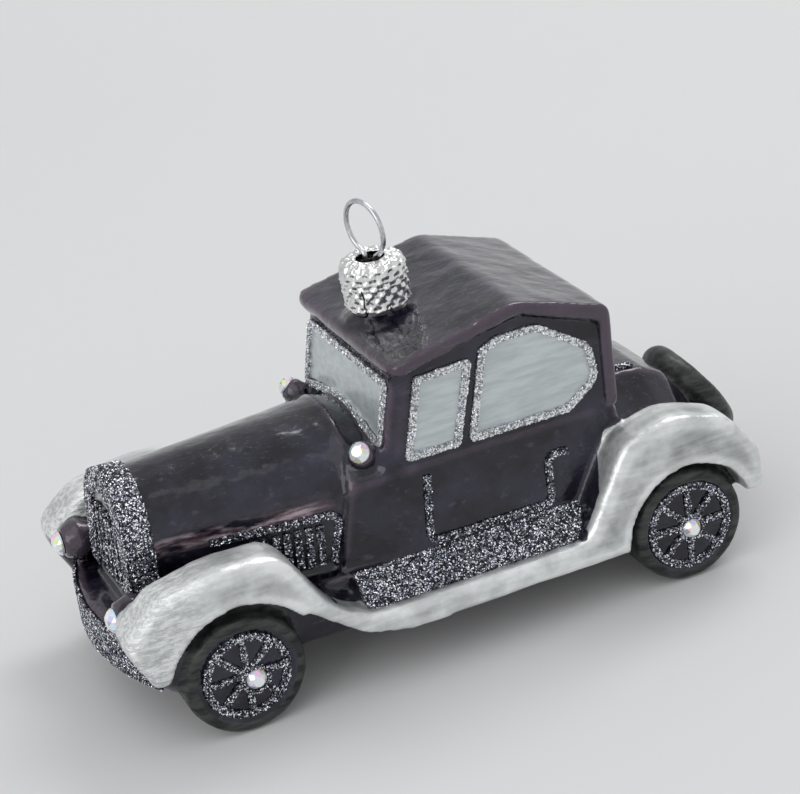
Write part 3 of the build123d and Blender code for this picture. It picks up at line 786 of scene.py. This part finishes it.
# Cap
# A thin metal cup, stamped with lozenges and rows of small pips, is crimped over the neck. Its
# skirt is slit into petals, long and short by turns, with a plain lip that turns in.
neck_place = Vector((2.5, 0.0, 61.5)) * MM
neck_tilt = math.radians(3.0)
neck_up = Vector((math.sin(neck_tilt), 0.0, math.cos(neck_tilt)))
neck_left = Vector((0.0, 1.0, 0.0))
neck_back = neck_up.cross(neck_left)
cap_radius = 6.2
cap_foot = 0.8
cap_shoulder = 8.65
cap_round = 2.0
cap_hole = 2.75
cap_metal_thickness = 0.22 * MM
cap_step = 0.11
cap_steps_round = 320
lip_height = 1.8
lip_turn_in = 0.55
plain_height = 1.6
stamp_fade = 0.4
stamp_radius = 5.0
top_dip = 0.02
hole_dip = 0.3
hole_fade = 0.5
petal_count = 8
petal_lift = 1.3
petal_height = 3.0
slit_heights = (3.0, 6.2)
slit_edge = 0.94
pip_rows = 1.1
pips_round = 36
pip_height = 0.05
lozenge_rows = 2.7
lozenges_round = 15
lozenge_height = 0.27


def cap_profile():
    """Radius, height, outward slope and stamping of the cup, from its lip to its hole."""
    rows = []
    for n in np.arange(cap_foot, cap_shoulder, cap_step):
        turn_in = max(0.0, lip_height - n) ** 2 * lip_turn_in
        stamping = min(1.0, max(0.0, (n - plain_height) / stamp_fade))
        rows.append((cap_radius - turn_in, n, (1.0, 0.0), stamping))
    for a in np.linspace(0, math.pi / 2, 26):
        r = cap_radius - cap_round * (1 - math.cos(a))
        n = cap_shoulder + cap_round * math.sin(a)
        rows.append((r, n, (math.cos(a), math.sin(a)), 1.0))
    for r in np.arange(cap_radius - cap_round - cap_step, cap_hole, -cap_step):
        stamping = min(1.0, (r - cap_hole) / hole_fade)
        rows.append((r, cap_shoulder + cap_round - top_dip, (0.0, 1.0), stamping))
    rows.append((cap_hole, cap_shoulder + cap_round - hole_dip, (0.0, 1.0), 0.0))
    return rows


def petal_place(i):
    """0 in the middle of a petal and 1 at its slits, at a step round the cup."""
    return abs((petal_count * i / cap_steps_round) % 1.0 * 2 - 1)


cup = bmesh.new()
grid = []
along = 0.0
last = None
for r, n, (out, rise), stamping in cap_profile():
    along += 0.0 if last is None else math.hypot(r - last[0], n - last[1])
    last = (r, n)
    ring = []
    for i in range(cap_steps_round):
        angle = 2 * math.pi * i / cap_steps_round
        lift = petal_lift * petal_place(i) ** 5 * max(0.0, 1 - n / petal_height)
        pip = math.cos(pips_round * angle) + math.cos(2 * math.pi * along / pip_rows)
        lozenge = math.cos(lozenges_round * angle) * math.cos(2 * math.pi * along / lozenge_rows)
        push = pip_height * max(pip, -1.0) + lozenge_height * max(lozenge, -0.5)
        push *= stamping * min(1.0, r / stamp_radius)
        radius = r + push * out
        height = n + lift + push * rise
        spot = neck_left * (radius * math.cos(angle)) + neck_back * (radius * math.sin(angle))
        ring.append(cup.verts.new(neck_place + (spot + neck_up * height) * MM))
    grid.append((n, ring))
for (n, lower), (_, upper) in zip(grid, grid[1:]):
    for i in range(cap_steps_round):
        slit = int(petal_count * (i + 0.5) / cap_steps_round + 0.5) % petal_count
        if petal_place(i + 0.5) > slit_edge and n < slit_heights[slit % 2]:
            continue
        j = (i + 1) % cap_steps_round
        cup.faces.new((lower[i], lower[j], upper[j], upper[i]))
bmesh.ops.delete(cup, geom=[v for v in cup.verts if not v.link_faces], context="VERTS")
bmesh.ops.recalc_face_normals(cup, faces=cup.faces)
cup_mesh = bpy.data.meshes.new("cup")
cup.to_mesh(cup_mesh)
cup.free()
cap_mesh = evaluated(
    cup_mesh, "stamped_cap", [("SOLIDIFY", {"thickness": cap_metal_thickness, "offset": -1.0})]
)
for face in cap_mesh.polygons:
    face.use_smooth = True
tin = Finish("stamped cap metal")
smear = tin.noise(0.7, 3.0).step(0.3, 0.7)
cap_material = tin.surface(
    base_color=tin.mix(smear, (0.70, 0.70, 0.69), (0.88, 0.88, 0.87)),
    metallic=1.0,
    roughness=tin.blend(smear, 0.16, 0.30),
    normal=tin.bump(tin.noise(2.2, 2.0), 0.5, 0.12 * MM),
)
cap = as_piece("stamped_cap", cap_mesh, "cap", cap_material, "cap")


# Wire hanger
# One spring wire is bent to a ring, and its two ends pass through the cap's hole and press apart
# inside the neck.
wire_radius = 0.5
ring_radius = 5.5
ring_middle = 16.25
ring_turn = math.radians(15.0)
ring_along = neck_left * math.cos(ring_turn) + neck_back * math.sin(ring_turn)
ring_open = math.radians(-72)
# Half of the wire's line, from a leg's end up: places across and over the neck's foot
half_loop = [(2.9, 1.6), (2.2, 5.5), (1.4, 8.8), (1.55, 10.4)]
half_loop += [
    (ring_radius * math.cos(a), ring_middle + ring_radius * math.sin(a))
    for a in np.linspace(ring_open, math.pi / 2, 10)
]
loop = half_loop + [(-u, n) for u, n in reversed(half_loop[:-1])]
wire_data = bpy.data.curves.new("wire", "CURVE")
wire_data.dimensions = "3D"
wire_data.bevel_depth = wire_radius * MM
wire_data.bevel_resolution = 5
wire_data.use_fill_caps = True
wire_line = wire_data.splines.new("NURBS")
wire_line.points.add(len(loop) - 1)
for point, (u, n) in zip(wire_line.points, loop):
    point.co = (*(neck_place + (ring_along * u + neck_up * n) * MM), 1.0)
wire_line.order_u = 4
wire_line.use_endpoint_u = True
wire_line.resolution_u = 8
wire = bpy.data.objects.new("wire", wire_data)
bpy.context.collection.objects.link(wire)
wire_ready = wire.evaluated_get(bpy.context.evaluated_depsgraph_get())
wire_mesh = bpy.data.meshes.new_from_object(wire_ready)
wire_mesh.name = "hanger_wire"
bpy.data.objects.remove(wire)
for face in wire_mesh.polygons:
    face.use_smooth = True
steel = Finish("bright spring wire")
die_marks = steel.noise(0.8, 3.0)
bright = die_marks.step(0.3, 0.7)
wire_material = steel.surface(
    base_color=steel.mix(bright, (0.50, 0.50, 0.52), (0.68, 0.68, 0.70)),
    metallic=1.0,
    roughness=steel.blend(bright, 0.22, 0.34),
    normal=steel.bump(die_marks, 0.15, 0.05 * MM),
)
hanger = as_piece("hanger_wire", wire_mesh, "hanger", wire_material, "hanger")
